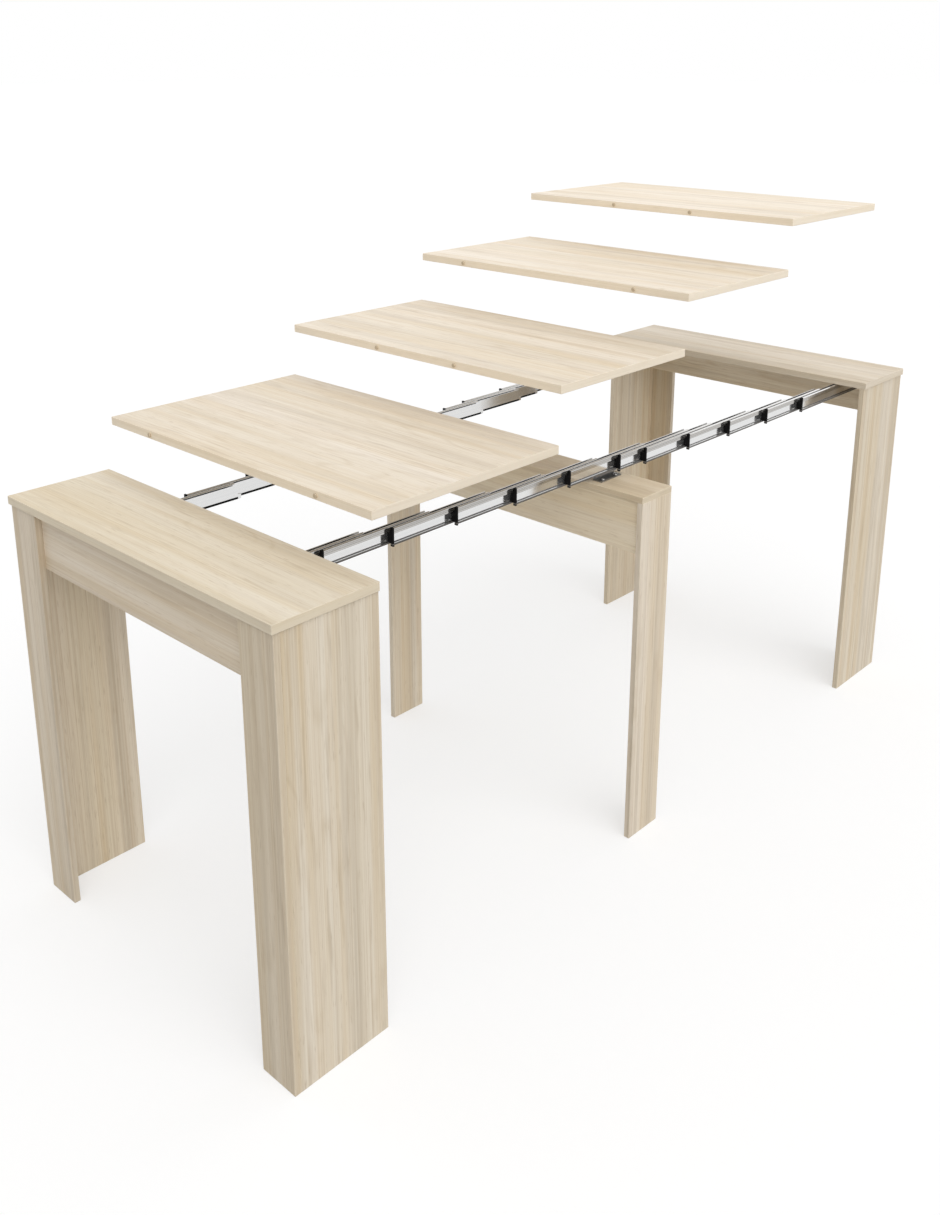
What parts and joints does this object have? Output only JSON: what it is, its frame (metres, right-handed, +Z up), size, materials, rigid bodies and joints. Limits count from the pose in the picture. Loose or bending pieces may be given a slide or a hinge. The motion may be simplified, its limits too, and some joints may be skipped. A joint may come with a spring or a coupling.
{
  "type": "extending table",
  "caption": "Console table that pulls out on telescopic slides into a long dining table, with a centre support frame and lift-out leaves shown raised above their seats.",
  "frame": {"origin": "on the floor under the middle of the pulled-out table", "axes": "+X along the pull from the near end to the far end, +Y to the left of someone who faces the far end, +Z up"},
  "size_m": [1.9, 0.725, 1.1878],
  "materials": {
    "oak_top": "satin",
    "oak_frame": "satin",
    "slide_rail": "satin",
    "black_plastic": "matte",
    "bracket_steel": "satin"
  },
  "bodies": {
    "centre_frame": {"centre_top": "oak_top", "centre_left_leg": "oak_frame", "centre_right_leg": "oak_frame", "centre_near_apron": "oak_frame", "centre_far_apron": "oak_frame", "centre_rail_brackets": "bracket_steel", "rail_05_right": "slide_rail", "rail_05_left": "slide_rail", "rail_05_end_caps": "black_plastic"},
    "near_end": {"near_top": "oak_top", "near_left_side": "oak_frame", "near_right_side": "oak_frame", "near_left_facing": "oak_frame", "near_right_facing": "oak_frame", "near_apron": "oak_frame", "near_rail_brackets": "bracket_steel", "rail_00_right": "slide_rail", "rail_00_left": "slide_rail", "rail_00_glides": "black_plastic"},
    "far_end": {"far_top": "oak_top", "far_left_side": "oak_frame", "far_right_side": "oak_frame", "far_left_facing": "oak_frame", "far_right_facing": "oak_frame", "far_apron": "oak_frame", "far_rail_brackets": "bracket_steel", "rail_11_right": "slide_rail", "rail_11_left": "slide_rail", "rail_11_end_caps": "black_plastic"},
    "stage_01": {"rail_01_right": "slide_rail", "rail_01_left": "slide_rail", "rail_01_end_caps": "black_plastic"},
    "stage_02": {"rail_02_right": "slide_rail", "rail_02_left": "slide_rail", "rail_02_end_caps": "black_plastic"},
    "stage_03": {"rail_03_right": "slide_rail", "rail_03_left": "slide_rail", "rail_03_end_caps": "black_plastic"},
    "stage_04": {"rail_04_right": "slide_rail", "rail_04_left": "slide_rail", "rail_04_end_caps": "black_plastic"},
    "stage_06": {"rail_06_right": "slide_rail", "rail_06_left": "slide_rail", "rail_06_end_caps": "black_plastic"},
    "stage_07": {"rail_07_right": "slide_rail", "rail_07_left": "slide_rail", "rail_07_end_caps": "black_plastic"},
    "stage_08": {"rail_08_right": "slide_rail", "rail_08_left": "slide_rail", "rail_08_end_caps": "black_plastic"},
    "stage_09": {"rail_09_right": "slide_rail", "rail_09_left": "slide_rail", "rail_09_end_caps": "black_plastic"},
    "stage_10": {"rail_10_right": "slide_rail", "rail_10_left": "slide_rail", "rail_10_end_caps": "black_plastic"},
    "leaf_1": {"leaf_1": "oak_top"},
    "leaf_2": {"leaf_2": "oak_top"},
    "leaf_3": {"leaf_3": "oak_top"},
    "leaf_4": {"leaf_4": "oak_top"}
  },
  "joints": [
    {"name": "near_end_slide", "type": "slide", "parent": "centre_frame", "child": "near_end", "axis": [1, 0, 0], "range_m": [0, 0.7621]},
    {"name": "far_end_slide", "type": "slide", "parent": "centre_frame", "child": "far_end", "axis": [-1, 0, 0], "range_m": [0, 0.7474]},
    {"name": "rail_01_slide", "type": "slide", "parent": "centre_frame", "child": "stage_01", "axis": [1, 0, 0], "range_m": [0, 0.55729]},
    {"name": "rail_02_slide", "type": "slide", "parent": "centre_frame", "child": "stage_02", "axis": [1, 0, 0], "range_m": [0, 0.41797]},
    {"name": "rail_03_slide", "type": "slide", "parent": "centre_frame", "child": "stage_03", "axis": [1, 0, 0], "range_m": [0, 0.27865]},
    {"name": "rail_04_slide", "type": "slide", "parent": "centre_frame", "child": "stage_04", "axis": [1, 0, 0], "range_m": [0, 0.13933]},
    {"name": "rail_06_slide", "type": "slide", "parent": "centre_frame", "child": "stage_06", "axis": [-1, 0, 0], "range_m": [0, 0.13934]},
    {"name": "rail_07_slide", "type": "slide", "parent": "centre_frame", "child": "stage_07", "axis": [-1, 0, 0], "range_m": [0, 0.20976]},
    {"name": "rail_08_slide", "type": "slide", "parent": "centre_frame", "child": "stage_08", "axis": [-1, 0, 0], "range_m": [0, 0.34418]},
    {"name": "rail_09_slide", "type": "slide", "parent": "centre_frame", "child": "stage_09", "axis": [-1, 0, 0], "range_m": [0, 0.4786]},
    {"name": "rail_10_slide", "type": "slide", "parent": "centre_frame", "child": "stage_10", "axis": [-1, 0, 0], "range_m": [0, 0.61302]},
    {"name": "leaf_1_lift", "type": "slide", "parent": "stage_02", "child": "leaf_1", "axis": [0, 0, 1], "range_m": [-0.102, 0]},
    {"name": "leaf_2_lift", "type": "slide", "parent": "stage_04", "child": "leaf_2", "axis": [0, 0, 1], "range_m": [-0.204, 0]},
    {"name": "leaf_3_lift", "type": "slide", "parent": "stage_07", "child": "leaf_3", "axis": [0, 0, 1], "range_m": [-0.306, 0]},
    {"name": "leaf_4_lift", "type": "slide", "parent": "stage_10", "child": "leaf_4", "axis": [0, 0, 1], "range_m": [-0.408, 0]}
  ],
  "couplings": [
    {"joint": "rail_01_slide", "follows": "near_end_slide", "ratio": 0.73124},
    {"joint": "rail_02_slide", "follows": "near_end_slide", "ratio": 0.54843},
    {"joint": "rail_03_slide", "follows": "near_end_slide", "ratio": 0.36562},
    {"joint": "rail_04_slide", "follows": "near_end_slide", "ratio": 0.18281},
    {"joint": "rail_06_slide", "follows": "far_end_slide", "ratio": 0.18641},
    {"joint": "rail_07_slide", "follows": "far_end_slide", "ratio": 0.28063},
    {"joint": "rail_08_slide", "follows": "far_end_slide", "ratio": 0.46048},
    {"joint": "rail_09_slide", "follows": "far_end_slide", "ratio": 0.64033},
    {"joint": "rail_10_slide", "follows": "far_end_slide", "ratio": 0.82018}
  ]
}
